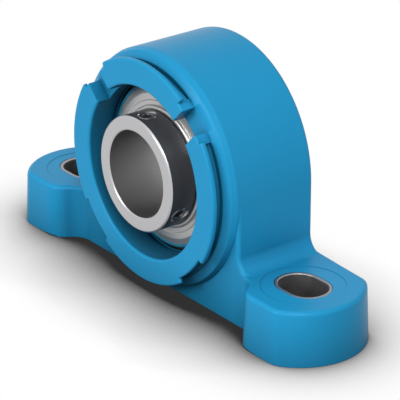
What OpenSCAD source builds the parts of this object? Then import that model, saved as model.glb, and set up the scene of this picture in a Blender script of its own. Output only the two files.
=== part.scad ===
// Pillow block bearing unit: a moulded housing on two feet that holds a self-aligning ball bearing insert.
// The shaft runs along Y, the feet stand on Z = 0, and the screw collar and bayonet collar face -Y.
// Distances along the shaft are measured from the plane of the ball centres, which is also Y = 0.

/* [Shaft and insert] */
// Diameter of the shaft that the inner ring takes
shaft_d = 30; // [28:0.5:31]
// Diameter of the sphere that the outer ring's outside follows
insert_od = 62; // [61:0.5:64]
// Width of the outer ring
insert_w = 18; // [17:0.5:19]
// From the ball centres to the front face of the inner ring
ring_front = 22.2; // [21:0.1:24]
// From the ball centres to the rear face of the inner ring
ring_rear = 15.9; // [14.5:0.1:18]
// How far the screw collar stands out past the rest of the inner ring
collar_rise = 0.6; // [0.3:0.05:1.2]

/* [Balls and cage] */
// Ball diameter
ball_d = 9.525; // [9:0.025:9.8]
// Number of balls
ball_count = 9; // [7:1:9]
// Raceway groove radius as a share of the ball diameter
race_conformity = 0.52; // [0.515:0.005:0.53]
// Depth of the raceway in the outer ring, below its shoulder
outer_race_depth = 1.55; // [1.2:0.05:1.8]
// Depth of the raceway in the inner ring, below its shoulder
inner_race_depth = 1.1; // [0.9:0.05:1.3]
// Radial thickness of the cage
cage_wall = 4.6; // [4:0.1:5]
// How far the cage reaches past the ball centres on its open side
cage_open = 3.2; // [2.8:0.1:3.6]
// How far the cage reaches past the ball centres on its closed side
cage_closed = 6.5; // [5.8:0.1:6.8]

/* [Seals and flingers] */
// Radial depth of the step that each seal snaps into, past the outer ring's shoulder
seal_step = 1.1; // [0.8:0.1:1.3]
// Thickness of a seal at its rim
seal_t = 1.3; // [1:0.1:1.5]
// From the edge of the outer ring's face in to the rim of a steel flinger
flinger_inset = 2.56; // [2.4:0.02:2.9]
// Thickness of the flinger's sheet
flinger_t = 0.7; // [0.5:0.1:0.9]
// How far a flinger's hub stands out past the outer ring's face
flinger_reach = 2.9; // [2.6:0.1:3.1]
// Radial width of the rubber lip round a flinger
flinger_lip_w = 1.1; // [0.8:0.1:1.2]

/* [Set screws] */
// Thread diameter of the set screws
screw_d = 6; // [5:0.5:6]
// From the inner ring's front face to the screws' axis
screw_inset = 5.2; // [4.6:0.1:5.6]
// Clock angle of the first screw, counted from +X towards +Z
screw_angle = 90; // [0:5:90]
// Angle between the two screws
screw_spread = 120; // [60:5:120]
// Width across the flats of the hexagon socket
socket_af = 3; // [2.5:0.5:3]
// Depth of the hexagon socket
socket_depth = 2.2; // [1.6:0.1:2.4]
// How far each end of a screw lies inside the inner ring's wall
screw_sink = 0.25; // [0.1:0.05:0.5]

/* [Housing body] */
// Height of the shaft axis over the base
centre_h = 42.9; // [42:0.1:50]
// Wall of the barrel outside the spherical seat
barrel_wall = 10; // [8.6:0.05:11]
// Depth of the base from front to back
base_depth = 39.8; // [37:0.2:44]
// Radius of the rounded outside edges
edge_round = 1.5; // [0.8:0.1:2]
// Radius between the uprights and the top of the feet
upright_fillet = 5.5; // [3:0.5:7]
// How far the seat's rims stand inside the seat's radius
seat_rim = 1.25; // [1:0.05:1.3]
// Width of the relief groove at each edge of the seat
relief_w = 1.6; // [1:0.1:2]
// Depth of the relief groove, outwards from the opening
relief_depth = 1; // [0.6:0.1:1.4]
// Radius on the edges of the openings
opening_round = 1; // [0.5:0.1:1.2]

/* [Collar] */
// From the ball centres to the front face of the collar
collar_front = 20; // [19:0.1:21]
// Wall of the collar at the bottom of its groove
collar_wall = 6.2; // [5:0.1:6.5]
// Width of the bayonet lip along the shaft
lip_w = 1.7; // [1.2:0.1:2.2]
// Height of the bayonet lip over the groove
lip_rise = 3; // [2:0.1:3.2]
// Radius on the outer edge of the bayonet lip
lip_round = 0.8; // [0.4:0.1:1.2]
// Width of the groove behind the lip
groove_w = 3.8; // [3:0.1:4.4]
// Height of the bayonet gaps' floor over the groove
gap_rise = 1.2; // [0.6:0.1:1.6]
// Angle that each bayonet gap spans
gap_angle = 23; // [19:1:30]
// Radius of the shoulder behind the groove
shoulder_round = 3.6; // [2.6:0.1:3.8]
// From the shoulder's face back to the face of the web
web_setback = 3.2; // [2.2:0.1:3.4]
// Width of the two slots that let a hexagon key in
key_slot_w = 9; // [7:0.5:10]
// Depth of the key slots from the collar's front face
key_slot_depth = 4; // [2.5:0.1:4.4]
// Height of the stop ribs over the groove
rib_rise = 1.4; // [0.8:0.1:1.8]

/* [Feet] */
// Distance between the two bolts
bolt_spacing = 121; // [117:0.5:127]
// Height of the feet
foot_h = 19.1; // [15:0.1:22]
// Radius of the rounded end of each foot
foot_end_r = 22.8; // [21.8:0.1:26]
// From the bolt inwards to the centre of the foot's end radius
foot_end_in = 2.1; // [1:0.1:3.5]
// Radius between the end of a foot and its straight sides
foot_corner_r = 7; // [4:0.5:9]
// How far the outside of a foot slopes in over its height
foot_draft = 0.7; // [0:0.1:1.2]
// From the bolt inwards to the centre of the convex curve
foot_swell_in = 3.1; // [2:0.1:4]
// Convex radius of the curve from a foot's front to the web
foot_swell_r = 8.7; // [7:0.1:11]
// Concave radius of the curve from a foot's front to the web
foot_hollow_r = 7.5; // [6:0.1:10]
// Width of the bolt slot inside its sleeve
slot_w = 13.5; // [11:0.5:14]
// Length of the bolt slot inside its sleeve
slot_len = 18.2; // [15:0.1:20]
// Wall of the slot's steel sleeve
sleeve_wall = 1.25; // [0.8:0.05:1.5]
// Diameter of the spot face under the bolt head
spot_d = 28; // [26:0.2:30]
// Depth of the spot face
spot_depth = 0.25; // [0.1:0.05:0.5]

/* [Fits] */
// Radial gap between the outer ring and its seat
seat_gap = 0.05; // [0.03:0.01:0.08]
// Gap between a ball and each raceway
ball_play = 0.05; // [0.03:0.01:0.07]
// Gap between a ball and its cage pocket
pocket_gap = 0.12; // [0.08:0.01:0.2]
// Gap between a seal or rubber lip and the face it runs on
lip_gap = 0.08; // [0.05:0.01:0.15]
// Radial gap at pressed or moulded-in pieces
press_gap = 0.02; // [0.01:0.01:0.03]
// Radial gap between a set screw and its hole
screw_gap = 0.05; // [0.03:0.01:0.08]

/* [Hidden] */
$fn = 120;

over = 1; // how far a cutter runs past the surface it opens

shaft_r = shaft_d / 2;
insert_r = insert_od / 2;
face = insert_w / 2;            // from the ball centres to either face of the outer ring
ball_r = ball_d / 2;
pitch_r = (shaft_r + insert_r) / 2;             // the balls run half way between the bore and the outside

race_r = race_conformity * ball_d;
race_shift = race_r - ball_r - ball_play;       // a groove's centre lies this far off the pitch circle
outer_land_r = pitch_r + ball_r - outer_race_depth;
neck_r = pitch_r - ball_r + inner_race_depth;   // the inner ring's outside, away from its screw collar
collar_r = neck_r + collar_rise;
seal_seat_r = outer_land_r + seal_step;
seal_in = 0.3;                                  // a seal lies this far inside the outer ring's face
seal_seat = face - seal_in - seal_t;
seal_rim_w = 1.6;
seal_lip_w = 1.2;
seal_slope = 0.5;
seal_dip = 0.4;
cage_in_r = pitch_r - cage_wall / 2;
cage_out_r = pitch_r + cage_wall / 2;
pocket_r = ball_r + pocket_gap;

face_r = sqrt(insert_r * insert_r - face * face);
flinger_r = face_r - flinger_inset;
flinger_start = face + 0.35;                    // where the hub begins, clear of the seal
flinger_end = face + flinger_reach;
ridge_r = (flinger_end - flinger_start - flinger_t) / 2;
rim_back = face + 0.45;                         // the rim's sheet stands this far off the ball centres
dish_drop = 1;                                  // from the ridge back to the dish
flat_rise = 0.25;                               // the flat stands this far over the dish
flat_w = 2.1;
slope_w = 2.1;                                  // radial width of the rim that slopes back
lip_bevel = 0.25;
collar_back = flinger_end + 0.2;                // rear edge of the screw collar, just past the hub
ring_chamfer = 0.5;
bore_chamfer = 0.35;

seat_r = insert_r + seat_gap;
opening_r = seat_r - seat_rim;
barrel_r = seat_r + barrel_wall;
core_r = opening_r + collar_wall;
gap_r = core_r + gap_rise;
lip_r = core_r + lip_rise;
relief_end = face + relief_w;
body_back = base_depth / 2;
lip_back = collar_front - lip_w;
shoulder = lip_back - groove_w;
web_front = shoulder - web_setback;
notch_r = seat_r + 0.3;                         // the loading notches reach just past the seat
notch_w = insert_w + 0.6;                       // and let the outer ring in edge first
key_slot_angles = [45, 135];
gap_angles = [45, 135, 225, 315];
rib_angles = [72, 23, -23, 203, 157, 108];
rib_span = 2.4;
rib_w = 1.8;

bolt_x = bolt_spacing / 2;
slot_r = slot_w / 2;
slot_half = (slot_len - slot_w) / 2;            // half the straight run of the slot
sleeve_r = slot_r + sleeve_wall;
sleeve_top = foot_h - spot_depth + 0.1;         // the sleeve's rim stands just proud of the spot face

end_c = [bolt_x - foot_end_in, 0];
front_y = -base_depth / 2;
corner_reach = foot_end_r - foot_corner_r;
corner_y = base_depth / 2 - foot_corner_r;
corner_c = [end_c[0] + sqrt(corner_reach * corner_reach - corner_y * corner_y), corner_y];
corner_turn = acos((corner_c[0] - end_c[0]) / corner_reach);
swell_c = [bolt_x - foot_swell_in, front_y + foot_swell_r];
hollow_y = -web_front - foot_hollow_r;
swell_rise = swell_c[1] - hollow_y;
swell_span = foot_swell_r + foot_hollow_r;
hollow_c = [swell_c[0] - sqrt(swell_span * swell_span - swell_rise * swell_rise), hollow_y];
swell_turn = asin(swell_rise / swell_span);
foot_root = barrel_r - 4;                       // the feet reach this far into the web

screw_y = -(ring_front - screw_inset);
screw_r = screw_d / 2;
screw_out = collar_r - screw_sink;
screw_tip = shaft_r + screw_sink;
tip_chamfer = 0.8;

blue = "#2f9ccd";
steel = "#a9abae";
dark_steel = "#55575a";
ball_steel = "#c9ccd0";
rubber = "#1d1e20";
lip_blue = "#0e6f86";
polyamide = "#3a3d3a";

// Turns the Z axis of what it holds onto the shaft axis, pointing to the rear
module on_shaft() {
    translate([0, 0, centre_h]) rotate([-90, 0, 0]) children();
}

// Turns what it holds about the shaft, to a clock angle counted from +X towards +Z
module at_clock(angle) {
    rotate([0, 0, -angle]) children();
}

// A piece of a ring between two clock angles, from its section (radius, distance along the shaft)
module ring_piece(from, to) {
    at_clock(to) rotate_extrude(angle = to - from) children();
}

// Section of a plain band
module band(r1, r2, y1, y2) {
    translate([r1, y1]) square([r2 - r1, y2 - y1]);
}

// What a rounded corner takes away at (x, y); the material lies towards dx, dy
module corner_cut(x, y, r, dx, dy) {
    difference() {
        translate([x - (dx > 0 ? over : r), y - (dy > 0 ? over : r)]) square(r + over);
        translate([x + dx * r, y + dy * r]) circle(r);
    }
}

module slot_prism(r, half, z1, z2) {
    translate([0, 0, z1]) linear_extrude(z2 - z1) {
        translate([-half, 0]) circle(r);
        translate([half, 0]) circle(r);
        square([2 * half, 2 * r], center = true);
    }
}

// Barrel, shoulder, collar and lip, as one turned section
module barrel_section() {
    in_r = opening_r - over;
    difference() {
        band(in_r, barrel_r, -shoulder, body_back);
        corner_cut(barrel_r, -shoulder, shoulder_round, -1, 1);
        corner_cut(barrel_r, body_back, edge_round, -1, -1);
    }
    band(in_r, core_r, -collar_front, -shoulder + over);
    difference() {
        band(in_r, lip_r, -collar_front, -lip_back);
        corner_cut(lip_r, -collar_front, lip_round, -1, 1);
    }
}

// The web and the two uprights under the barrel, seen from the front, with the fillets over the feet
module upright_outline() {
    side = barrel_r + upright_fillet;
    top = foot_h + upright_fillet;
    translate([-barrel_r, 0]) square([2 * barrel_r, centre_h]);
    for (s = [-1, 1])
        difference() {
            translate([s > 0 ? barrel_r - over : -side, foot_h - over])
                square([upright_fillet + over, upright_fillet + over]);
            translate([s * side, top]) circle(upright_fillet);
        }
}

module uprights() {
    side = barrel_r + upright_fillet;
    top = foot_h + upright_fillet;
    difference() {
        translate([0, body_back, 0]) rotate([90, 0, 0])
            linear_extrude(body_back + web_front) upright_outline();
        for (s = [0, 1]) mirror([s, 0, 0]) {
            translate([0, 0, top]) linear_extrude(centre_h - top + over) {
                corner_cut(barrel_r, -web_front, edge_round, -1, 1);
                corner_cut(barrel_r, body_back, edge_round, -1, -1);
            }
            translate([side, 0, top]) rotate([-90, 0, 0]) rotate([0, 0, 90])
                rotate_extrude(angle = 90) {
                    corner_cut(upright_fillet, -web_front, edge_round, 1, 1);
                    corner_cut(upright_fillet, body_back, edge_round, 1, -1);
                }
        }
    }
}

function arc(c, r, a1, a2, n, first = 0) =
    [for (i = [first:n]) let (a = a1 + (a2 - a1) * i / n) [c[0] + r * cos(a), c[1] + r * sin(a)]];

// Plan of a foot, anticlockwise from its rear root, drawn in by a distance
function foot_plan(in) = concat(
    [[foot_root, body_back - in], [foot_root, -web_front + in]],
    arc(hollow_c, foot_hollow_r + in, 90, swell_turn, 6),
    arc(swell_c, foot_swell_r - in, swell_turn + 180, 270, 6, 1),
    arc([corner_c[0], -corner_c[1]], foot_corner_r - in, 270, 360 - corner_turn, 4),
    arc(end_c, foot_end_r - in, -corner_turn, corner_turn, 12, 1),
    arc(corner_c, foot_corner_r - in, corner_turn, 90, 4, 1));

// A foot as a stack of plans: sloping walls, then a rounded top edge
module foot() {
    steps = 4;
    levels = concat([[0, 0]], [for (i = [0:steps]) let (a = 90 * i / steps)
        [foot_h - edge_round * (1 - sin(a)), foot_draft + edge_round * (1 - cos(a))]]);
    n = len(foot_plan(0));
    last = (len(levels) - 1) * n;
    points = [for (l = levels) for (p = foot_plan(l[1])) [p[0], p[1], l[0]]];
    walls = [for (k = [0:len(levels) - 2]) for (i = [0:n - 1]) let (j = (i + 1) % n)
        [k * n + i, (k + 1) * n + i, (k + 1) * n + j, k * n + j]];
    floor_face = [[for (i = [0:n - 1]) i]];
    top_face = [[for (i = [0:n - 1]) last + (n - i) % n]];
    polyhedron(points, concat(floor_face, walls, top_face));
}

// Bridges beside the key slots and stop ribs, which stand in the groove behind the lip
module groove_details() {
    for (a = key_slot_angles)
        ring_piece(a - gap_angle / 2, a + gap_angle / 2)
            band(core_r - over, gap_r, -lip_back - over / 2, -shoulder + over);
    for (a = rib_angles)
        ring_piece(a - rib_span / 2, a + rib_span / 2)
            band(core_r - over, core_r + rib_rise, -shoulder - rib_w, -shoulder + over);
}

module collar_cuts() {
    for (a = gap_angles)
        ring_piece(a - gap_angle / 2, a + gap_angle / 2)
            band(gap_r, lip_r + over, -collar_front - over, -lip_back);
    for (a = key_slot_angles)
        at_clock(a)
            translate([opening_r - over, -key_slot_w / 2, -collar_front - over])
                cube([barrel_r - opening_r + over, key_slot_w, key_slot_depth + over]);
}

// The inside of the housing: spherical seat, reliefs, openings and the notches that let the insert in
module seat_space() {
    translate([0, 0, -collar_front - over]) cylinder(r = opening_r, h = collar_front + body_back + 2 * over);
    intersection() {
        sphere(seat_r);
        cylinder(r = seat_r + over, h = insert_w, center = true);
    }
    rotate_extrude() {
        for (s = [-1, 1])
            band(opening_r - over, opening_r + relief_depth,
                s > 0 ? face : -relief_end, s > 0 ? relief_end : -face);
        corner_cut(opening_r, -collar_front, opening_round, 1, 1);
        corner_cut(opening_r, body_back, opening_round, 1, -1);
    }
    intersection() {
        cylinder(r = notch_r, h = body_back + over);
        translate([-notch_r - over, -notch_w / 2, 0]) cube([2 * (notch_r + over), notch_w, body_back + over]);
    }
}

module housing() {
    color(blue) difference() {
        union() {
            on_shaft() {
                rotate_extrude() barrel_section();
                groove_details();
            }
            uprights();
            foot();
            mirror([1, 0, 0]) foot();
        }
        on_shaft() {
            seat_space();
            collar_cuts();
        }
        for (s = [-1, 1])
            translate([s * bolt_x, 0, 0]) {
                slot_prism(sleeve_r + press_gap, slot_half, -over, foot_h + over);
                translate([0, 0, foot_h - spot_depth]) cylinder(d = spot_d, h = over);
            }
    }
}

module slot_sleeve(side) {
    color(steel) translate([side * bolt_x, 0, 0]) difference() {
        slot_prism(sleeve_r, slot_half, 0, sleeve_top);
        slot_prism(slot_r, slot_half, -over, sleeve_top + over);
    }
}

module outer_ring() {
    color(dark_steel) on_shaft() difference() {
        intersection() {
            sphere(insert_r);
            cylinder(r = insert_r + over, h = insert_w, center = true);
        }
        cylinder(r = outer_land_r, h = insert_w + 2 * over, center = true);
        for (s = [-1, 1])
            translate([0, 0, s > 0 ? seal_seat : -face - over])
                cylinder(r = seal_seat_r, h = face - seal_seat + over);
        rotate_extrude() translate([pitch_r - race_shift, 0]) circle(race_r);
    }
}

module inner_ring_section() {
    polygon([
        [shaft_r + bore_chamfer, -ring_front], [collar_r - ring_chamfer, -ring_front],
        [collar_r, -ring_front + ring_chamfer], [collar_r, -collar_back - ring_chamfer],
        [neck_r, -collar_back], [neck_r, ring_rear - ring_chamfer],
        [neck_r - ring_chamfer, ring_rear], [shaft_r + bore_chamfer, ring_rear],
        [shaft_r, ring_rear - bore_chamfer], [shaft_r, -ring_front + bore_chamfer]]);
}

// Stands a cylinder or prism on the screw's axis: its Z axis points outwards
module on_screw(i) {
    on_shaft() at_clock(screw_angle - (i - 1) * screw_spread)
        translate([0, 0, screw_y]) rotate([0, 90, 0]) children();
}

module inner_ring() {
    color(steel) difference() {
        on_shaft() rotate_extrude() inner_ring_section();
        on_shaft() rotate_extrude() translate([pitch_r + race_shift, 0]) circle(race_r);
        for (i = [1, 2])
            on_screw(i) translate([0, 0, shaft_r - over]) cylinder(r = screw_r + screw_gap, h = collar_r);
    }
}

module ball(i) {
    color(ball_steel) on_shaft() at_clock(90 - (i - 1) * 360 / ball_count)
        translate([pitch_r, 0, 0]) sphere(ball_r);
}

// A crown cage: closed towards the rear, with pockets that the balls snap into from the front
module ball_cage() {
    color(polyamide) on_shaft() difference() {
        rotate_extrude() band(cage_in_r, cage_out_r, -cage_open, cage_closed);
        for (i = [1:ball_count])
            at_clock(90 - (i - 1) * 360 / ball_count) translate([pitch_r, 0, 0]) sphere(pocket_r);
    }
}

// Section of a seal; distances count outwards from the ball centres
module seal_section() {
    back = seal_seat + press_gap;
    front = face - seal_in;
    rim_r = seal_seat_r - press_gap;
    tip_r = neck_r + lip_gap;
    polygon([
        [rim_r, back], [rim_r, front], [rim_r - seal_rim_w, front],
        [rim_r - seal_rim_w - seal_slope, front - seal_dip], [tip_r + seal_lip_w, front - seal_dip],
        [tip_r + seal_slope, front], [tip_r, front - seal_dip / 2], [tip_r, front - seal_slope],
        [tip_r + seal_lip_w, back]]);
}

// Section of a flinger: a hub on the inner ring, a ridge, a dish, a flat and a rim that slopes back
module flinger_section() {
    hub_r = neck_r + press_gap;
    dish = flinger_end - dish_drop;
    flat = dish + flat_rise;
    flat_out = flinger_r - slope_w;
    flat_in = flat_out - flat_w;
    band(hub_r, hub_r + flinger_t, flinger_start, flinger_end - ridge_r);
    translate([hub_r + ridge_r, flinger_end - ridge_r]) circle(ridge_r);
    polygon([
        [hub_r + ridge_r, dish - flinger_t], [flat_in - flat_rise, dish - flinger_t],
        [flat_in, flat - flinger_t], [flat_out, flat - flinger_t], [flinger_r, rim_back],
        [flinger_r, rim_back + flinger_t], [flat_out, flat], [flat_in, flat], [flat_in - flat_rise, dish],
        [hub_r + ridge_r, dish]]);
}

// Section of the rubber lip on a flinger's rim; its edge runs on the outer ring's face
module flinger_lip_section() {
    in_r = flinger_r + press_gap;
    tip_r = flinger_r + flinger_lip_w;
    front = rim_back + flinger_t;
    polygon([
        [in_r, rim_back], [in_r, front], [in_r + lip_bevel, front + lip_bevel],
        [tip_r - lip_bevel, front + lip_bevel], [tip_r, front], [tip_r, rim_back],
        [tip_r - lip_bevel, face + lip_gap], [tip_r - 2 * lip_bevel, face + lip_gap]]);
}

// Turns a section that counts outwards: side -1 is the front, 1 the rear
module turned(side) {
    on_shaft() mirror([0, 0, side > 0 ? 0 : 1]) rotate_extrude() children();
}

module seal(side) {
    color(rubber) turned(side) seal_section();
}

module flinger(side) {
    color(steel) turned(side) flinger_section();
}

module flinger_lip(side) {
    color(lip_blue) turned(side) flinger_lip_section();
}

module set_screw(i) {
    color(dark_steel) on_screw(i) difference() {
        union() {
            translate([0, 0, screw_tip + tip_chamfer])
                cylinder(r = screw_r, h = screw_out - screw_tip - tip_chamfer);
            translate([0, 0, screw_tip]) cylinder(r1 = screw_r - tip_chamfer, r2 = screw_r, h = tip_chamfer);
        }
        translate([0, 0, screw_out - socket_depth])
            cylinder(r = socket_af / sqrt(3), h = socket_depth + over, $fn = 6);
    }
}

housing();
slot_sleeve(-1);  // slot_sleeve_left
slot_sleeve(1);  // slot_sleeve_right
outer_ring();
inner_ring();
ball_cage();
for (i = [1:ball_count])
    ball(i);
seal(-1);  // front_seal
seal(1);  // rear_seal
flinger(-1);  // front_flinger
flinger(1);  // rear_flinger
flinger_lip(-1);  // front_flinger_lip
flinger_lip(1);  // rear_flinger_lip
set_screw(1);  // set_screw_1
set_screw(2);  // set_screw_2
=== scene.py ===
import math
import bmesh
import bpy
from mathutils import Matrix, Vector


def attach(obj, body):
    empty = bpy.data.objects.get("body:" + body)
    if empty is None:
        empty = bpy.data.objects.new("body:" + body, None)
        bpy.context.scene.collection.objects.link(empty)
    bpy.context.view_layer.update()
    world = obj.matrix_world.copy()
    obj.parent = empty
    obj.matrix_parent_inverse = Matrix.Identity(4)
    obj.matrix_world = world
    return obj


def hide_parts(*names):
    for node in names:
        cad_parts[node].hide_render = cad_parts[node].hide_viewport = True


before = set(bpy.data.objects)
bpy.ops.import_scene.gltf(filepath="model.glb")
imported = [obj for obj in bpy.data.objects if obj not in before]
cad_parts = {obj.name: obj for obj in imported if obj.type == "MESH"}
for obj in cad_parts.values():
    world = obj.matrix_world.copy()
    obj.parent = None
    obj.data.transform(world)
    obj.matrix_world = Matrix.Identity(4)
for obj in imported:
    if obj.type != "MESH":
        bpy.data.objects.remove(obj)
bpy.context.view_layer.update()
bpy.ops.object.select_all(action="DESELECT")

mm = 0.001
shaft = {"height": 42.9}  # the shaft axis runs along Y at this height; all sizes are in mm
over = 1.0  # how far a cutter runs past the surface that it opens
same = 0.002  # corners closer than this become one


def point(x, y, z):
    return Vector((x, y, z)) * mm


# A place by its distance from the shaft axis, along the shaft, and clock angle from +X towards +Z
def onShaft(radius, along, clock=0.0):
    turn = math.radians(clock)
    return point(radius * math.cos(turn), along, shaft["height"] + radius * math.sin(turn))


def arcPoints(centre, radius, fromAngle, toAngle, steps):
    angles = [math.radians(fromAngle + (toAngle - fromAngle) * step / steps) for step in range(steps + 1)]
    return [(centre[0] + radius * math.cos(a), centre[1] + radius * math.sin(a)) for a in angles]


# Corners of a section as (a, b) or (a, b, radius): a rounded corner becomes an arc
def roundCorners(corners, degreesPerStep=15.0):
    outline = []
    for index, corner in enumerate(corners):
        here = Vector(corner[:2])
        if len(corner) < 3:
            outline.append(here)
            continue
        before = (Vector(corners[index - 1][:2]) - here).normalized()
        after = (Vector(corners[(index + 1) % len(corners)][:2]) - here).normalized()
        half = before.angle(after) / 2
        centre = here + (before + after).normalized() * (corner[2] / math.sin(half))
        reach = corner[2] / math.tan(half)
        start, end = here + before * reach - centre, here + after * reach - centre
        first = math.degrees(math.atan2(start.y, start.x))
        sweep = (math.degrees(math.atan2(end.y, end.x)) - first + 180) % 360 - 180
        steps = max(2, round(abs(sweep) / degreesPerStep))
        outline += [Vector(p) for p in arcPoints(centre, corner[2], first, first + sweep, steps)]
    return outline


def selectWhere(piece, kind, wanted):  # kind is VERT, EDGE or FACE
    if bpy.context.mode != "EDIT_MESH":
        bpy.ops.object.select_all(action="DESELECT")
        bpy.context.view_layer.objects.active = piece
        piece.select_set(True)
        bpy.ops.object.mode_set(mode="EDIT")
    bpy.ops.mesh.select_mode(type=kind)
    bpy.ops.mesh.select_all(action="DESELECT")
    form = bmesh.from_edit_mesh(piece.data)
    parts = {"VERT": form.verts, "EDGE": form.edges, "FACE": form.faces}[kind]
    parts.index_update()
    for part in parts:
        part.select = wanted(part)
    form.select_flush(True)
    bmesh.update_edit_mesh(piece.data)


# A plane is merged to one vertex, which is extruded from place to place; it is left in edit mode
def drawLine(name, places, closed=True, filled=False):
    bpy.ops.object.select_all(action="DESELECT")
    bpy.ops.mesh.primitive_plane_add(size=mm, location=places[0])
    piece = bpy.context.object
    piece.name = piece.data.name = name
    bpy.ops.object.transform_apply(location=True, rotation=True, scale=True)
    bpy.ops.object.mode_set(mode="EDIT")
    bpy.ops.mesh.select_mode(type="VERT")
    bpy.ops.mesh.select_all(action="SELECT")
    bpy.ops.mesh.merge(type="CENTER")
    for before, here in zip(places, places[1:]):
        bpy.ops.mesh.extrude_region_move(TRANSFORM_OT_translate={"value": here - before})
    if closed:
        selectWhere(piece, "VERT", lambda vertex: vertex.index in (0, len(places) - 1))
        bpy.ops.mesh.edge_face_add()
    bpy.ops.mesh.select_all(action="SELECT")
    if filled:
        bpy.ops.mesh.edge_face_add()
    return piece


def closeForm(piece):  # merges doubles, points the faces outwards and leaves edit mode
    bpy.ops.mesh.select_all(action="SELECT")
    bpy.ops.mesh.remove_doubles(threshold=same * mm)
    bpy.ops.mesh.normals_make_consistent(inside=False)
    bpy.ops.object.mode_set(mode="OBJECT")
    piece.select_set(False)
    return piece


# Turns a closed section of (radius, along) corners once about the shaft
def turnRing(name, section, steps=144, degreesPerStep=15.0):
    piece = drawLine(name, [onShaft(corner.x, corner.y) for corner in roundCorners(section, degreesPerStep)])
    bpy.ops.mesh.spin(steps=steps, angle=2 * math.pi, use_auto_merge=True, center=onShaft(0, 0), axis=(0, 1, 0))
    return closeForm(piece)


# The same between two clock angles
def turnSector(name, section, fromClock, toClock, steps=10):
    places = [onShaft(corner.x, corner.y, fromClock) for corner in roundCorners(section)]
    piece = drawLine(name, places, filled=True)
    bpy.ops.mesh.spin(steps=steps, angle=math.radians(toClock - fromClock), center=onShaft(0, 0), axis=(0, 1, 0))
    return closeForm(piece)


# Turns a line of (radius, outwards) corners, from axis to axis, about an axis through a centre
def turnPin(name, line, centre, axis, steps=48):
    side = axis.orthogonal().normalized()
    places = [centre + (side * corner[0] + axis * corner[1]) * mm for corner in line]
    piece = drawLine(name, places, closed=False)
    bpy.ops.mesh.spin(steps=steps, angle=2 * math.pi, use_auto_merge=True, center=centre, axis=axis)
    return closeForm(piece)


def pushOutline(name, places, along):
    piece = drawLine(name, places, filled=True)
    bpy.ops.mesh.extrude_region_move(TRANSFORM_OT_translate={"value": along})
    return closeForm(piece)


def applyStep(piece, kind, settings):
    bpy.ops.object.select_all(action="DESELECT")
    bpy.context.view_layer.objects.active = piece
    piece.select_set(True)
    step = piece.modifiers.new(kind.lower(), kind)
    for key, value in settings.items():
        setattr(step, key, value)
    bpy.ops.object.modifier_apply(modifier=step.name)
    piece.select_set(False)


def combine(piece, operation, others):
    for other in others:
        applyStep(piece, "BOOLEAN", {"operation": operation, "object": other, "solver": "EXACT"})
        bpy.data.objects.remove(other, do_unlink=True)
    return piece


# Round faces are shaded smooth, true edges stay crisp and flat faces flat
def finishPiece(piece, materials, body, nodeName, angle=32.0):
    bpy.ops.object.select_all(action="DESELECT")
    bpy.context.view_layer.objects.active = piece
    piece.select_set(True)
    bpy.ops.object.shade_smooth_by_angle(angle=math.radians(angle))
    applyStep(piece, "WEIGHTED_NORMAL", {"keep_sharp": True, "weight": 100})
    for material in materials if isinstance(materials, list) else [materials]:
        piece.data.materials.append(material)
    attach(piece, body)
    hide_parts(nodeName)
    return piece


def colour(hexCode):  # sRGB hex to linear
    values = [int(hexCode[i:i + 2], 16) / 255 for i in (0, 2, 4)]
    return [v / 12.92 if v <= 0.04045 else ((v + 0.055) / 1.055) ** 2.4 for v in values] + [1.0]


def addNode(material, kind, settings=None, links=None):
    node = material.node_tree.nodes.new(kind)
    for key, value in (settings or {}).items():
        if isinstance(key, int) or key in node.inputs:
            node.inputs[key].default_value = value
        else:
            setattr(node, key, value)
    for key, socket in (links or {}).items():
        material.node_tree.links.new(socket, node.inputs[key])
    return node


def startMaterial(name):
    material = bpy.data.materials.new(name)
    material.use_nodes = True
    material.node_tree.nodes.clear()
    return material, addNode(material, "ShaderNodeTexCoord").outputs["Object"]


def endMaterial(material, shader):
    addNode(material, "ShaderNodeOutputMaterial", links={"Surface": shader.outputs[0]})
    return material


plastic = {
    "light": "2496c8", "deep": "1f8fc0", "cloud": 30.0,  # the pigment changes slowly over this length
    "grain": 0.7, "grainDepth": 0.012, "grainStrength": 0.3,  # the real grain is finer and wouldn't show
    "roughness": 0.34, "specular": 0.1, "ior": 1.49,
    "edge": 0.45, "edgeSamples": 6,  # true edges catch the light as if rounded by this much
    "recess": "0a4058", "paintedShadeReach": 30.0, "paintedShadeSamples": 8,  # painted shade: the dark colour mixed in where things this near shut a place in
    "recessDark": 0.15, "paintedShadeClear": 0.88,  # how open a place is where it takes the full painted shade, and where it keeps its own colour
}


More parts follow.
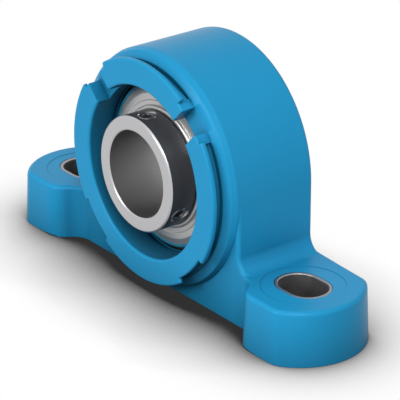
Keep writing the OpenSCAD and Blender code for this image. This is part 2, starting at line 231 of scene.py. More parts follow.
def makePlastic():  # glass-filled polypropylene, injection moulded: satin, even, with softened edges
    p = plastic
    material, where = startMaterial("mouldedPolypropylene")
    cloud = addNode(material, "ShaderNodeTexNoise", {"Scale": 1 / (p["cloud"] * mm), "Detail": 2.0},
                    {"Vector": where})
    grain = addNode(material, "ShaderNodeTexNoise", {"Scale": 1 / (p["grain"] * mm), "Detail": 3.0},
                    {"Vector": where})
    tone = addNode(material, "ShaderNodeMix", {"data_type": "RGBA", 6: colour(p["deep"]), 7: colour(p["light"])},
                   {0: cloud.outputs["Fac"]})
    # Painted shade: the colour is mixed towards the dark tone where the AO node finds a place shut in, in recesses and
    # near the floor
    openness = addNode(material, "ShaderNodeAmbientOcclusion",
                       {"samples": p["paintedShadeSamples"], "Distance": p["paintedShadeReach"] * mm})
    shade = addNode(material, "ShaderNodeMapRange", {"From Min": p["recessDark"], "From Max": p["paintedShadeClear"]},
                    {"Value": openness.outputs["AO"]})
    shaded = addNode(material, "ShaderNodeMix", {"data_type": "RGBA", 6: colour(p["recess"])},
                     {0: shade.outputs["Result"], 7: tone.outputs[2]})
    edges = addNode(material, "ShaderNodeBevel", {"samples": p["edgeSamples"], "Radius": p["edge"] * mm})
    relief = addNode(material, "ShaderNodeBump", {"Strength": p["grainStrength"], "Distance": p["grainDepth"] * mm},
                     {"Height": grain.outputs["Fac"], "Normal": edges.outputs["Normal"]})
    shader = addNode(material, "ShaderNodeBsdfPrincipled",
                     {"Roughness": p["roughness"], "IOR": p["ior"], "Specular IOR Level": p["specular"]},
                     {"Base Color": shaded.outputs[2], "Normal": relief.outputs["Normal"]})
    return endMaterial(material, shader)


# How far the roughness swings with rings and mottle, and how strongly both show as relief
metal = {"sheenSpan": 0.05, "mottleSpan": 0.06, "ringStrength": 0.3, "mottleStrength": 0.25}


# Steel cut or ground about the shaft: fine rings that follow the tool, at a width that still shows
def makeTurnedSteel(name, tone, roughness, lineWidth, lineDepth, metallic=1.0):
    material, where = startMaterial(name)
    centred = addNode(material, "ShaderNodeMapping", {"Location": (0, 0, -shaft["height"] * mm)}, {"Vector": where})
    apart = addNode(material, "ShaderNodeSeparateXYZ", links={"Vector": centred.outputs["Vector"]})
    across = addNode(material, "ShaderNodeCombineXYZ", links={"X": apart.outputs["X"], "Y": apart.outputs["Z"]})
    radius = addNode(material, "ShaderNodeVectorMath", {"operation": "LENGTH"}, {0: across.outputs["Vector"]})
    rings = addNode(material, "ShaderNodeCombineXYZ", links={"X": radius.outputs["Value"], "Y": apart.outputs["Y"]})
    cut = addNode(material, "ShaderNodeTexNoise", {"Scale": 1 / (lineWidth * mm), "Detail": 2.0},
                  {"Vector": rings.outputs["Vector"]})
    sheen = addNode(material, "ShaderNodeMapRange",
                    {"To Min": roughness - metal["sheenSpan"], "To Max": roughness + metal["sheenSpan"]},
                    {"Value": cut.outputs["Fac"]})
    relief = addNode(material, "ShaderNodeBump", {"Strength": metal["ringStrength"], "Distance": lineDepth * mm},
                     {"Height": cut.outputs["Fac"]})
    shader = addNode(material, "ShaderNodeBsdfPrincipled", {"Metallic": metallic, "Base Color": colour(tone)},
                     {"Roughness": sheen.outputs["Result"], "Normal": relief.outputs["Normal"]})
    return endMaterial(material, shader)


# Steel or rubber with an even, fine mottle: lapped, blackened, drawn or moulded
def makeMottled(name, tone, roughness, spotSize, depth, metallic=0.0, stretch=(1, 1, 1)):
    material, where = startMaterial(name)
    scaled = addNode(material, "ShaderNodeMapping", {"Scale": stretch}, {"Vector": where})
    mottle = addNode(material, "ShaderNodeTexNoise", {"Scale": 1 / (spotSize * mm), "Detail": 3.0},
                     {"Vector": scaled.outputs["Vector"]})
    sheen = addNode(material, "ShaderNodeMapRange",
                    {"To Min": roughness - metal["mottleSpan"], "To Max": roughness + metal["mottleSpan"]},
                    {"Value": mottle.outputs["Fac"]})
    relief = addNode(material, "ShaderNodeBump", {"Strength": metal["mottleStrength"], "Distance": depth * mm},
                     {"Height": mottle.outputs["Fac"]})
    shader = addNode(material, "ShaderNodeBsdfPrincipled", {"Base Color": colour(tone), "Metallic": metallic},
                     {"Roughness": sheen.outputs["Result"], "Normal": relief.outputs["Normal"]})
    return endMaterial(material, shader)


# Tone, roughness, then width and depth of the pattern in mm; the notes say what each gives the eye
housingPlastic = makePlastic()
groundSteel = makeTurnedSteel("groundBearingSteel", "bcbcbe", 0.30, 0.12, 0.004)  # silky, bright
collarSteelPaintedDark = makeTurnedSteel("collarSteelPaintedReflection", "66676a", 0.45, 0.2, 0.004, metallic=0.8)  # dull; toned dark, a painted reflection of the housing's dark inside
boreSteel = makeTurnedSteel("honedBore", "a3a2a2", 0.34, 0.6, 0.012)  # a soft, deep sheen
honedSteel = makeTurnedSteel("honedRingSteel", "6a6462", 0.30, 0.2, 0.004)  # warm, dark
pressedSteel = makeTurnedSteel("pressedStainlessSheet", "bebdbc", 0.32, 0.5, 0.0015, metallic=0.6)  # blurred rings
sleeveSteel = makeMottled("drawnStainlessTube", "9c9b9c", 0.42, 0.4, 0.006, metallic=1.0,
                          stretch=(1, 1, 0.08))  # faint upright marks of drawing
ballSteel = makeMottled("lappedBallSteel", "d0d1d3", 0.1, 1.5, 0.001, metallic=1.0)  # mirror bright
screwSteel = makeMottled("blackenedScrewSteel", "8b8d90", 0.36, 0.5, 0.005, metallic=1.0)  # a dull glint
lipRubber = makeMottled("tealNitrileRubber", "0d6580", 0.5, 1.2, 0.02)  # matt, dark teal
sealRubber = makeMottled("blackNitrileRubber", "1b1c1e", 0.6, 1.2, 0.02)  # matt black
cagePolyamide = makeMottled("glassFilledPolyamide", "3a3d38", 0.5, 0.8, 0.02)  # matt grey green
print("materials ready")

housing = {
    "seat": 31.05, "face": 9.0, "opening": 29.8, "openingRound": 1.0, "reliefWidth": 1.6, "reliefDepth": 1.0,
    "barrel": 41.05, "rear": 19.9, "edgeRound": 1.5, "webFront": -11.3, "filletRadius": 5.5,
    "shoulder": -15.1, "shoulderCorners": ((37.8, -15.1, 0.2), (40.3, -13.55, 0.4), (41.05, -11.5, 0.4)),
    "core": 36.0, "lip": 39.0, "lipBack": -18.3, "lipRound": 0.8, "lipInsideRound": 0.2,
    "grooveFrontRound": 0.3, "grooveBackRound": 0.4, "collarFront": -20.0,
    "gapClocks": (45, 135, 225, 315), "gapAngle": 23.0, "gap": 37.2, "lipEndRound": 0.6,
    "keySlotClocks": (45, 135), "keySlotWidth": 9.0, "keySlotFloor": -14.9,
    "bridgeClock": 1.0, "clear": 0.1,  # so that no face of a bridge, gap cutter or shoulder coincides with another
    "ramps": ((74, 57), (-16, -33), (254, 237), (164, 147)), "rampTop": 37.2, "rampSink": 0.4,
    "rampStart": 1.0, "rampEnd": 2.8,
    "notch": 31.35, "notchWidth": 18.6,
}
# Margins for picking the edges that are rounded round the gaps: mm along and across, degrees of clock and turn
gapEdge = {"along": 0.02, "across": 0.05, "inside": 1.2, "clockIn": 0.5, "clockOut": 0.05, "turn": 50.0}
foot = {
    "height": 19.1, "root": 37.05, "endX": 58.4, "endRadius": 22.8, "cornerRadius": 7.0, "draft": 0.7, "flush": 0.02,
    "swellX": 57.4, "swellRadius": 8.7, "hollowRadius": 7.5, "boltX": 60.5, "slotHalf": 2.35,
    "slotRadius": 6.75, "sleeveRadius": 8.0, "sleeveTop": 18.95, "sleeveRound": 0.35,
    "rimTurn": 1.0,  # in radians: what turns by more is an edge of the sleeve's rim
    "spotRadius": 14.0, "spotDepth": 0.12, "pressGap": 0.02,
}


def barrelSection():  # the outside of barrel, shoulder, collar and lip
    h = housing
    inside = h["opening"] - over
    return [
        (inside, h["collarFront"]), (h["lip"], h["collarFront"], h["lipRound"]),
        (h["lip"], h["lipBack"], h["lipInsideRound"]), (h["core"], h["lipBack"], h["grooveFrontRound"]),
        (h["core"], h["shoulder"], h["grooveBackRound"]),
        *h["shoulderCorners"], (h["barrel"], h["rear"], h["edgeRound"]),
        (inside, h["rear"])]


def seatCutter():  # rounded openings, relief grooves and the spherical seat, as one turned cutter
    h = housing
    top = math.degrees(math.acos(h["opening"] / h["seat"]))
    relief, reliefEnd = h["opening"] + h["reliefDepth"], h["face"] + h["reliefWidth"]
    mouth, r = h["opening"] + h["openingRound"], h["openingRound"]
    line = [(0, h["collarFront"] - over), (mouth, h["collarFront"] - over)]
    line += arcPoints((mouth, h["collarFront"] + r), r, -90, -180, 6)
    line += [(h["opening"], -reliefEnd), (relief, -reliefEnd), (relief, -h["face"]), (h["opening"], -h["face"])]
    line += arcPoints((0, 0), h["seat"], -top, top, 20)
    line += [(h["opening"], h["face"]), (relief, h["face"]), (relief, reliefEnd), (h["opening"], reliefEnd)]
    line += arcPoints((mouth, h["rear"] - r), r, 180, 90, 6)
    line += [(mouth, h["rear"] + over), (0, h["rear"] + over)]
    return turnPin("seatCutter", line, onShaft(0, 0), Vector((0, 1, 0)), steps=168)


# Draws the first outline filled, then extrudes it from level to level, each point going to its place there
def loftOutlines(name, levels):
    piece = drawLine(name, levels[0], filled=True)
    for before, here in zip(levels, levels[1:]):
        bpy.ops.mesh.extrude_region_move(TRANSFORM_OT_translate={"value": (0, 0, 0)})
        form = bmesh.from_edit_mesh(piece.data)
        for vertex in [vertex for vertex in form.verts if vertex.select]:
            nearest = min(range(len(before)), key=lambda index: (before[index] - vertex.co).length_squared)
            vertex.co = here[nearest]
        bmesh.update_edit_mesh(piece.data)
    return closeForm(piece)


def edgeLevels(steps=5):  # quarter circle of the rounded edge: how far in, and how far from the end
    r = housing["edgeRound"]
    turns = [math.radians(90 * step / steps) for step in range(steps + 1)]
    return [(r * (1 - math.sin(turn)), r * (1 - math.cos(turn))) for turn in turns]


def makeUprights():  # web and uprights, with fillets over the feet and rounded outside edges
    h, f = housing, foot
    sideX, top, low = h["barrel"] + h["filletRadius"], f["height"] + h["filletRadius"], f["height"] - 2

    def outline(inwards, y):
        half = [(h["barrel"], 0), (h["barrel"], low), (sideX, low)]
        half += arcPoints((sideX, top), h["filletRadius"] + inwards, -90, -180, 8)
        half += [(h["barrel"] - inwards, shaft["height"])]
        return [point(x, y, z) for x, z in half + [(-x, z) for x, z in reversed(half)]]
    levels = [outline(inwards, h["webFront"] + along) for inwards, along in edgeLevels()]
    levels += [outline(inwards, h["rear"] - along) for inwards, along in reversed(edgeLevels())]
    return loftOutlines("uprights", levels)


def footPlan(side, inwards, z):
    h, f = housing, foot
    cornerY = h["rear"] - f["cornerRadius"]
    reach = f["endRadius"] - f["cornerRadius"]
    cornerX = f["endX"] + math.sqrt(reach ** 2 - cornerY ** 2)
    cornerTurn = math.degrees(math.acos((cornerX - f["endX"]) / reach))
    swellY, hollowY = f["swellRadius"] - h["rear"], h["webFront"] - f["hollowRadius"]
    span, rise = f["swellRadius"] + f["hollowRadius"], swellY - hollowY
    swellTurn = math.degrees(math.asin(rise / span))
    hollowX = f["swellX"] - math.sqrt(span ** 2 - rise ** 2)
    back = h["rear"] - f["flush"]
    plan = [(h["barrel"], back), (f["root"], back), (f["root"], h["webFront"] + f["flush"])]
    for step in range(11):  # the hollow starts flush with the web and takes up the draft on its way
        turn, radius = 90 + (swellTurn - 90) * step / 10, f["hollowRadius"] + f["flush"] + inwards * step / 10
        plan += arcPoints((hollowX, hollowY), radius, turn, turn, 1)[:1]
    plan += arcPoints((f["swellX"], swellY), f["swellRadius"] - inwards, swellTurn + 180, 270, 12)[1:]
    plan += arcPoints((cornerX, -cornerY), f["cornerRadius"] - inwards, 270, 360 - cornerTurn, 8)
    plan += arcPoints((f["endX"], 0), f["endRadius"] - inwards, -cornerTurn, cornerTurn, 28)[1:]
    plan += arcPoints((cornerX, cornerY), f["cornerRadius"] - inwards, cornerTurn, 90, 8)[1:]
    return [point(side * x, y, z) for x, y in plan]


def makeFoot(side):  # plan outline, drafted walls, then a rounded top edge
    f = foot
    levels = [footPlan(side, 0, 0)]
    for down, inwards in edgeLevels():
        levels.append(footPlan(side, f["draft"] + inwards, f["height"] - down))
    return loftOutlines("foot", levels)


def slotOutline(side, radius, z):  # the outline of a bolt slot, seen from above
    f = foot
    ends = arcPoints((f["slotHalf"], 0), radius, -90, 90, 24) + arcPoints((-f["slotHalf"], 0), radius, 90, 270, 24)
    return [point(side * f["boltX"] + x, y, z) for x, y in ends]


def slotCutter(side):
    return pushOutline("slotCutter", slotOutline(side, foot["sleeveRadius"] + foot["pressGap"], -over),
                       point(0, 0, foot["height"] + 2 * over))


def spotCutter(side):
    low, radius = foot["height"] - foot["spotDepth"], foot["spotRadius"]
    line = [(0, low), (radius, low), (radius, low + over), (0, low + over)]
    return turnPin("spotCutter", line, point(side * foot["boltX"], 0, 0), Vector((0, 0, 1)), steps=96)


def keySlotCutter(clock):
    h = housing
    across = Vector((math.sin(math.radians(clock)), 0, -math.cos(math.radians(clock)))) * (h["keySlotWidth"] / 2 * mm)
    near = onShaft(h["opening"] - over, h["collarFront"] - over, clock)
    far = onShaft(h["barrel"], h["collarFront"] - over, clock)
    return pushOutline("keySlotCutter", [near - across, far - across, far + across, near + across],
                       point(0, h["keySlotFloor"] - h["collarFront"] + over, 0))


def notchCutter():  # the two notches at the rear that let the insert in edge first
    h = housing
    turn = math.degrees(math.asin(h["notchWidth"] / 2 / h["notch"]))
    outline = arcPoints((0, shaft["height"]), h["notch"], -turn, turn, 16)
    outline += arcPoints((0, shaft["height"]), h["notch"], 180 - turn, 180 + turn, 16)
    return pushOutline("notchCutter", [point(x, 0, z) for x, z in outline], point(0, h["rear"] + over, 0))


def makeRamp(thin, thick, steps=6):  # the wedge behind the lip that draws an end cover tight
    h = housing
    levels, front = [], h["lipBack"] - h["rampSink"]
    for step in range(steps + 1):
        clock = thin + (thick - thin) * step / steps
        back = h["lipBack"] + h["rampStart"] + (h["rampEnd"] - h["rampStart"]) * step / steps
        corners = [(h["core"] - over, front), (h["rampTop"], front), (h["rampTop"], back), (h["core"] - over, back)]
        levels.append([onShaft(radius, along, clock) for radius, along in corners])
    return loftOutlines("ramp", levels)


def makeHousing():
    h, e = housing, gapEdge
    piece = turnRing("housingMoulding", barrelSection(), steps=168)
    inside, top, half = h["core"] - over, h["gap"] + h["clear"], h["gapAngle"] / 2
    front, back, wide = h["lipBack"] - over / 2, h["shoulder"] + over, half + h["bridgeClock"]
    bridge = [(inside, front), (top, front), (top, back), (inside, back)]  # closes the groove behind a key slot
    bridges = [turnSector("bridge", bridge, clock - wide, clock + wide, steps=11) for clock in h["keySlotClocks"]]
    combine(piece, "UNION", [makeUprights(), makeFoot(-1), makeFoot(1)] + bridges)
    combine(piece, "UNION", [makeRamp(*clocks) for clocks in h["ramps"]])
    front, back = h["collarFront"] - over, h["shoulder"] + h["clear"]
    gap = [(h["gap"], front), (h["lip"] + over, front), (h["lip"] + over, back), (h["gap"], back)]
    gaps = [turnSector("gapCutter", gap, clock - half, clock + half, steps=9) for clock in h["gapClocks"]]
    keySlots = [keySlotCutter(clock) for clock in h["keySlotClocks"]]
    slots = [cutter(side) for side in (-1, 1) for cutter in (slotCutter, spotCutter)]
    combine(piece, "DIFFERENCE", [seatCutter(), notchCutter()] + gaps + keySlots + slots)

    def isGapEdge(edge):  # the outside edges round the bayonet gaps and key slots
        for vertex in edge.verts:
            place = vertex.co / mm - Vector((0, 0, shaft["height"]))
            radius, clock = math.hypot(place.x, place.z), math.degrees(math.atan2(place.z, place.x)) % 360
            fromGap = min(abs(clock - middle) for middle in h["gapClocks"])
            besideGap = fromGap > half - e["clockIn"] or radius > h["gap"] + e["across"]
            if fromGap > half + e["clockOut"] or (besideGap and place.y > h["lipBack"] + e["along"]):
                return False
            if radius < h["opening"] + e["inside"] or place.y > h["keySlotFloor"] + e["along"]:
                return False
        return edge.is_convex and edge.calc_face_angle(0) > math.radians(e["turn"])
    selectWhere(piece, "EDGE", isGapEdge)
    bpy.ops.mesh.bevel(offset=h["lipEndRound"] * mm, segments=3, affect="EDGES", clamp_overlap=False)
    bpy.ops.object.mode_set(mode="OBJECT")
    return finishPiece(piece, housingPlastic, "housing", "housing")


makeHousing()
print("housing ready")


def makeSleeve(side, nodeName):  # drawn tube flattened to a slot, its rims rounded
    f = foot
    name = "boltSleeve" + nodeName.split("_")[-1].capitalize()
    piece = drawLine(name, slotOutline(side, f["sleeveRadius"], 0), filled=True)
    bpy.ops.mesh.inset(thickness=(f["sleeveRadius"] - f["slotRadius"]) * mm, depth=0, use_even_offset=True)
    bpy.ops.mesh.delete(type="FACE")
    bpy.ops.mesh.select_all(action="SELECT")
    bpy.ops.mesh.extrude_region_move(TRANSFORM_OT_translate={"value": point(0, 0, f["sleeveTop"])})
    selectWhere(piece, "EDGE", lambda edge: abs(edge.verts[0].co.z - edge.verts[1].co.z) < 0.01 * mm
                and not edge.is_boundary and len(edge.link_faces) == 2
                and edge.link_faces[0].normal.angle(edge.link_faces[1].normal) > f["rimTurn"])
    bpy.ops.mesh.bevel(offset=f["sleeveRound"] * mm, segments=3, affect="EDGES", clamp_overlap=False)
    closeForm(piece)
    return finishPiece(piece, sleeveSteel, "housing", nodeName)


makeSleeve(-1, "slot_sleeve_left")
makeSleeve(1, "slot_sleeve_right")
print("sleeves ready")

insert = {
    "bore": 15.0, "boreChamfer": 0.35, "chamfer": 0.5, "break": 0.12, "collar": 19.9375, "front": -22.2,
    "flatNormal": 0.3, "boreSlack": 0.1,  # which faces count as the outside, toned dark as a painted reflection, and as the honed bore
    "collarBack": -12.1, "neck": 19.3375, "rear": 15.9, "pitch": 23.0, "raceRadius": 4.953, "raceShift": 0.1405,
    "sphere": 31.0, "face": 9.0, "land": 26.2125, "sealSeat": 27.3125, "sealBack": 7.4, "ballRadius": 4.7625,
    "pocket": 4.8825, "cageIn": 20.7, "cageOut": 25.3, "cageOpen": -3.2, "cageClosed": 6.5, "ballCount": 9,
    "cageFrontRound": 0.2, "cageBackRound": 0.4,
}


def racePoints(centreRadius, atRadius, outward, steps=16):  # the groove's arc, from rear to front
    turn = math.degrees(math.acos((atRadius - centreRadius) * outward / insert["raceRadius"]))
    middle = 0 if outward > 0 else 180
    return arcPoints((centreRadius, 0), insert["raceRadius"], middle + turn * outward, middle - turn * outward, steps)


screw = {
    "along": -17.0, "radius": 3.0, "hole": 3.05, "tip": 15.25, "outer": 19.6875, "tipChamfer": 0.8, "cup": 1.5,
    "cupDepth": 0.5, "edge": 0.35, "socket": 3.0, "socketDepth": 2.2, "clocks": (90, -30), "countersink": 0.45,
    "countersinkPast": 0.1,
}


def screwAxis(clock):
    return onShaft(0, screw["along"]), Vector((math.cos(math.radians(clock)), 0, math.sin(math.radians(clock))))


def makeInnerRing():
    i, s = insert, screw
    c, b = i["chamfer"], i["break"]
    section = [
        (i["bore"] + i["boreChamfer"], i["front"], b), (i["collar"] - c, i["front"], b),
        (i["collar"], i["front"] + c, b),
        (i["collar"], i["collarBack"] - c, b), (i["collar"] - c, i["collarBack"]), (i["neck"], i["collarBack"])]
    section += reversed(racePoints(i["pitch"] + i["raceShift"], i["neck"], -1))
    section += [
        (i["neck"], i["rear"] - c, b), (i["neck"] - c, i["rear"], b), (i["bore"] + i["boreChamfer"], i["rear"], b),
        (i["bore"], i["rear"] - i["boreChamfer"]), (i["bore"], i["front"] + i["boreChamfer"])]
    piece = turnRing("innerRing", section, steps=180, degreesPerStep=22.0)
    hole, flare, past = s["hole"], s["countersink"], s["countersinkPast"]
    wide = hole + flare + past
    line = [(0, i["bore"] - over), (hole, i["bore"] - over), (hole, i["collar"] - flare),
            (wide, i["collar"] + past), (wide, i["collar"] + over), (0, i["collar"] + over)]
    combine(piece, "DIFFERENCE", [turnPin("screwHole", line, *screwAxis(clock)) for clock in s["clocks"]])
    for face in piece.data.polygons:  # the ends and chamfers are ground bright, the outside is toned darker as a painted reflection of the housing's dark inside, the bore honed
        place = face.center / mm - Vector((0, 0, shaft["height"]))
        radius = math.hypot(place.x, place.z)
        if abs(face.normal.y) < i["flatNormal"]:
            face.material_index = 2 if radius < i["bore"] + i["boreSlack"] else 1
    return finishPiece(piece, [groundSteel, collarSteelPaintedDark, boreSteel], "inner_ring", "inner_ring")


def makeScrew(number, clock):  # hexagon socket set screw with a cup point
    s = screw
    centre, axis = screwAxis(clock)
    line = [(0, s["tip"] + s["cupDepth"]), (s["cup"], s["tip"]), (s["radius"] - s["tipChamfer"], s["tip"]),
            (s["radius"], s["tip"] + s["tipChamfer"]), (s["radius"], s["outer"] - s["edge"]),
            (s["radius"] - s["edge"], s["outer"]), (0, s["outer"])]
    piece = turnPin("setScrew%d" % number, line, centre, axis)
    across = s["socket"] / math.sqrt(3)
    low = s["outer"] - s["socketDepth"]
    socket = turnPin("socketCutter", [(0, low), (across, low), (across, s["outer"] + over), (0, s["outer"] + over)],
                     centre, axis, steps=6)
    cone = [(0, s["outer"] - across), (across + over, s["outer"] + over), (0, s["outer"] + over)]
    mouth = turnPin("mouthCutter", cone, centre, axis)
    combine(piece, "DIFFERENCE", [socket, mouth])
    return finishPiece(piece, screwSteel, "set_screw_%d" % number, "set_screw_%d" % number)


makeInnerRing()
for number, clock in enumerate(screw["clocks"], 1):
    makeScrew(number, clock)
print("inner ring and set screws ready")


def makeOuterRing():
    i = insert
    turn = math.degrees(math.asin(i["face"] / i["sphere"]))
    section = arcPoints((0, 0), i["sphere"], -turn, turn, 16)
    section += [(i["sealSeat"], i["face"]), (i["sealSeat"], i["sealBack"]), (i["land"], i["sealBack"])]
    section += racePoints(i["pitch"] - i["raceShift"], i["land"], 1)
    section += [(i["land"], -i["sealBack"]), (i["sealSeat"], -i["sealBack"]), (i["sealSeat"], -i["face"])]
    piece = turnRing("outerRing", section)
    return finishPiece(piece, honedSteel, "outer_ring", "outer_ring")


def makeBall(number):  # a subdivided cube drawn out to a sphere
    i = insert
    size = i["ballRadius"] * mm
    bpy.ops.mesh.primitive_cube_add(size=2 * size, location=(0, 0, 0))
    piece = bpy.context.object
    piece.name = piece.data.name = "ball%d" % number
    bpy.ops.object.mode_set(mode="EDIT")
    bpy.ops.mesh.select_all(action="SELECT")
    bpy.ops.mesh.subdivide(number_cuts=11)
    bpy.ops.object.mode_set(mode="OBJECT")
    applyStep(piece, "CAST", {"cast_type": "SPHERE", "factor": 1.0, "use_radius_as_size": False, "size": size})
    piece.location = onShaft(i["pitch"], 0, 90 - (number - 1) * 360 / i["ballCount"])
    piece.select_set(True)
    bpy.ops.object.transform_apply(location=True, rotation=True, scale=True)
    return finishPiece(piece, ballSteel, "ball_%d" % number, "ball_%d" % number)


def makeCage():  # crown cage: a band with pockets that the balls snap into from the front
    i = insert
    section = [(i["cageIn"], i["cageOpen"], i["cageFrontRound"]), (i["cageOut"], i["cageOpen"], i["cageFrontRound"]),
               (i["cageOut"], i["cageClosed"], i["cageBackRound"]), (i["cageIn"], i["cageClosed"], i["cageBackRound"])]
    piece = turnRing("ballCage", section)
    pockets = []
    for number in range(i["ballCount"]):
        turn = arcPoints((0, 0), i["pocket"], -90, 90, 20)
        turn[0], turn[-1] = (0, -i["pocket"]), (0, i["pocket"])
        pockets.append(turnPin("pocketCutter", turn, onShaft(i["pitch"], 0, 90 - number * 360 / i["ballCount"]),
                               Vector((0, 1, 0)), steps=40))
    combine(piece, "DIFFERENCE", pockets)
    return finishPiece(piece, cagePolyamide, "cage", "ball_cage")


makeOuterRing()
for number in range(1, insert["ballCount"] + 1):
    makeBall(number)
makeCage()
print("outer ring, balls and cage ready")

sealing = {
    "sealBack": 7.42, "sealFront": 8.7, "sealRim": 27.2925, "sealRimWidth": 1.6, "slope": 0.5, "dip": 0.4,
    "sealTip": 19.4175, "sealLipWidth": 1.2, "hub": 19.3575, "hubStart": 9.35, "sheet": 0.7, "ridge": 0.925,
    "top": 11.9, "dish": 10.9, "rise": 0.25, "flatIn": 22.9048, "flatOut": 25.0048, "rim": 27.1048, "rimBack": 9.45,
    "lipIn": 27.1248, "lipOut": 28.2048, "lipBevel": 0.25, "lipEdge": 9.08,
    "crisp": 0.12, "rubberRim": 0.15, "rubberEdge": 0.2, "soft": 0.3,  # radii of corners, of rubber and sheet
    "bend": 0.4, "wideBend": 1.0, "ridgeFoot": 0.05,
}


# Sections here count distances outwards from the ball centres: side -1 is the front, 1 the rear
def turnSided(name, section, side, steps=144):
    places = [(corner.x, side * corner.y) for corner in roundCorners(section)]
    return turnRing(name, places, steps=steps)


def makeSeal(side, name, nodeName):
    s = sealing
    rim, lip, slope, soft = s["sealRim"] - s["sealRimWidth"], s["sealTip"] + s["sealLipWidth"], s["slope"], s["soft"]
    section = [
        (s["sealRim"], s["sealBack"]), (s["sealRim"], s["sealFront"], s["rubberRim"]), (rim, s["sealFront"], soft),
        (rim - slope, s["sealFront"] - s["dip"], soft), (lip, s["sealFront"] - s["dip"], soft),
        (s["sealTip"] + slope, s["sealFront"], s["crisp"]), (s["sealTip"], s["sealFront"] - s["dip"] / 2),
        (s["sealTip"], s["sealFront"] - slope), (lip, s["sealBack"])]
    return finishPiece(turnSided(name, section, side), sealRubber, "outer_ring", nodeName)


def makeFlinger(side, name, nodeName):  # pressed sheet: hub, ridge, dish, flat and a rim that slopes back
    s = sealing
    t, ridgeX, ridgeY = s["sheet"], s["hub"] + s["ridge"], s["top"] - s["ridge"]
    flat, dishBack, bend, soft = s["dish"] + s["rise"], s["dish"] - t, s["bend"], s["soft"]
    section = [(s["hub"] + t, s["hubStart"]), (s["hub"], s["hubStart"])]
    section += arcPoints((ridgeX, ridgeY), s["ridge"], 180, 0, 12)
    section += [
        (ridgeX + s["ridge"] + s["ridgeFoot"], s["dish"], s["ridgeFoot"]), (s["flatIn"] - s["rise"], s["dish"], bend),
        (s["flatIn"], flat, bend), (s["flatOut"], flat, s["wideBend"]), (s["rim"], s["rimBack"] + t, s["crisp"]),
        (s["rim"], s["rimBack"]), (s["flatOut"], flat - t, bend), (s["flatIn"], flat - t, soft),
        (s["flatIn"] - s["rise"], dishBack, soft), (s["hub"] + t, dishBack, soft)]
    piece = turnSided(name, section, side, steps=180)
    return finishPiece(piece, pressedSteel, "inner_ring", nodeName)


def makeLip(side, name, nodeName):
    s = sealing
    front, bevel, edge = s["rimBack"] + s["sheet"], s["lipBevel"], s["rubberEdge"]
    section = [
        (s["lipIn"], s["rimBack"]), (s["lipIn"], front), (s["lipIn"] + bevel, front + bevel, s["rubberRim"]),
        (s["lipOut"] - bevel, front + bevel, edge), (s["lipOut"], front, edge), (s["lipOut"], s["rimBack"]),
        (s["lipOut"] - bevel, s["lipEdge"]), (s["lipOut"] - 2 * bevel, s["lipEdge"])]
    return finishPiece(turnSided(name, section, side), lipRubber, "inner_ring", nodeName)


for side, end in ((-1, "front"), (1, "rear")):
    makeSeal(side, end + "Seal", end + "_seal")
    makeFlinger(side, end + "Flinger", end + "_flinger")
    makeLip(side, end + "FlingerLip", end + "_flinger_lip")
print("seals, flingers and lips ready")

studio = {
    "floorSize": 6.0, "floorTone": 0.4, "shadowReach": 0.045, "shadowSamples": 32,
    "shadowDark": 0.45, "shadowClear": 0.97,  # how open the floor is where it shows darkest and white
    "shadowLeast": 0.03,
    "sky": 0.42, "keyPower": 8.5, "keySize": 0.5, "keyPlace": (0.75, -0.6, 0.8),
    "fillPower": 5.5, "fillSize": 0.4, "fillPlace": (-0.1, -1.1, 0.5),
}


def seenDirectly(owner):  # 1 for what the camera, metal and glass see, 0 for what only gives light
    path = addNode(owner, "ShaderNodeLightPath")
    seen = path.outputs["Is Camera Ray"]
    for ray in ("Is Glossy Ray", "Is Transmission Ray"):
        seen = addNode(owner, "ShaderNodeMath", {"operation": "MAXIMUM"}, {0: seen, 1: path.outputs[ray]}).outputs[0]
    return seen


def makeFloor():  # white to the camera, darkening where the object shuts out the sky
    s = studio
    bpy.ops.mesh.primitive_plane_add(size=s["floorSize"], location=(0, 0, 0))
    floor = bpy.context.object
    floor.name = "floor"
    floor.select_set(False)
    material = startMaterial("paleStudioFloor")[0]
    openness = addNode(material, "ShaderNodeAmbientOcclusion",
                       {"samples": s["shadowSamples"], "Distance": s["shadowReach"]})
    shade = addNode(material, "ShaderNodeMapRange",
                    {"From Min": s["shadowDark"], "From Max": s["shadowClear"], "To Min": s["shadowLeast"]},
                    {"Value": openness.outputs["AO"]})
    matt = addNode(material, "ShaderNodeBsdfDiffuse", {"Color": [s["floorTone"]] * 3 + [1]})
    shown = addNode(material, "ShaderNodeEmission", {"Color": (1, 1, 1, 1)}, {"Strength": shade.outputs["Result"]})
    shader = addNode(material, "ShaderNodeMixShader",
                     links={0: seenDirectly(material), 1: matt.outputs[0], 2: shown.outputs[0]})
    floor.data.materials.append(endMaterial(material, shader))


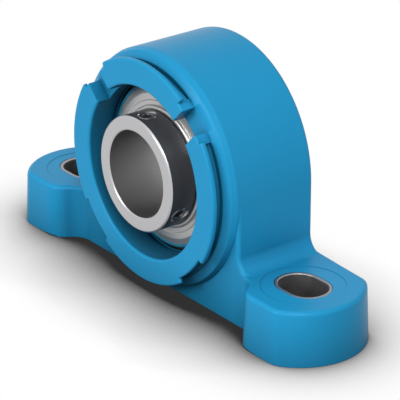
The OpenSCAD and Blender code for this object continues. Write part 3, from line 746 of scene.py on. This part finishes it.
def makeWorld():  # white to the camera, to metal and through glass; a soft grey light for the rest
    world = bpy.data.worlds.new("studioWorld")
    bpy.context.scene.world = world
    world.use_nodes = True
    world.node_tree.nodes.clear()
    strength = addNode(world, "ShaderNodeMapRange", {"To Min": studio["sky"], "To Max": 1.0},
                       {"Value": seenDirectly(world)})
    light = addNode(world, "ShaderNodeBackground", {"Color": (1, 1, 1, 1)}, {"Strength": strength.outputs["Result"]})
    addNode(world, "ShaderNodeOutputWorld", links={"Surface": light.outputs[0]})


def makeLamp(name, place, size, power):
    bpy.ops.object.light_add(type="AREA", location=place)
    lamp = bpy.context.object
    lamp.name = name
    lamp.data.shape, lamp.data.size, lamp.data.energy = "DISK", size, power
    aim = point(0, 0, shaft["height"]) - lamp.location
    lamp.rotation_euler = aim.to_track_quat("-Z", "Y").to_euler()
    lamp.select_set(False)


makeFloor()
makeWorld()
makeLamp("keyLamp", studio["keyPlace"], studio["keySize"], studio["keyPower"])
makeLamp("fillLamp", studio["fillPlace"], studio["fillSize"], studio["fillPower"])

# The photograph's view, from its circles and feet
view = {
    "target": (6.0536, 0.0, 29.7475), "distance": 856.0523, "azimuth": 52.5546, "elevation": 24.0465,
    "roll": -0.1606, "lens": 229.77, "sensor": 36.0, "clipStart": 0.05, "clipEnd": 20.0,
}


def makeCamera():
    v = view
    azimuth, elevation, roll = (math.radians(v[key]) for key in ("azimuth", "elevation", "roll"))
    back = Vector((math.sin(azimuth) * math.cos(elevation), -math.cos(azimuth) * math.cos(elevation),
                   math.sin(elevation)))
    level = Vector((0, 0, 1)).cross(back).normalized()
    upright = back.cross(level)
    right = level * math.cos(roll) + upright * math.sin(roll)
    up = upright * math.cos(roll) - level * math.sin(roll)
    bpy.ops.object.camera_add(location=(Vector(v["target"]) + back * v["distance"]) * mm)
    camera = bpy.context.object
    camera.rotation_euler = Matrix((right, up, back)).transposed().to_euler()
    camera.data.lens, camera.data.sensor_width, camera.data.sensor_fit = v["lens"], v["sensor"], "HORIZONTAL"
    camera.data.clip_start, camera.data.clip_end = v["clipStart"], v["clipEnd"]
    camera.select_set(False)
    bpy.context.scene.camera = camera


makeCamera()
bpy.context.scene.view_settings.view_transform = "Standard"
print("studio ready")
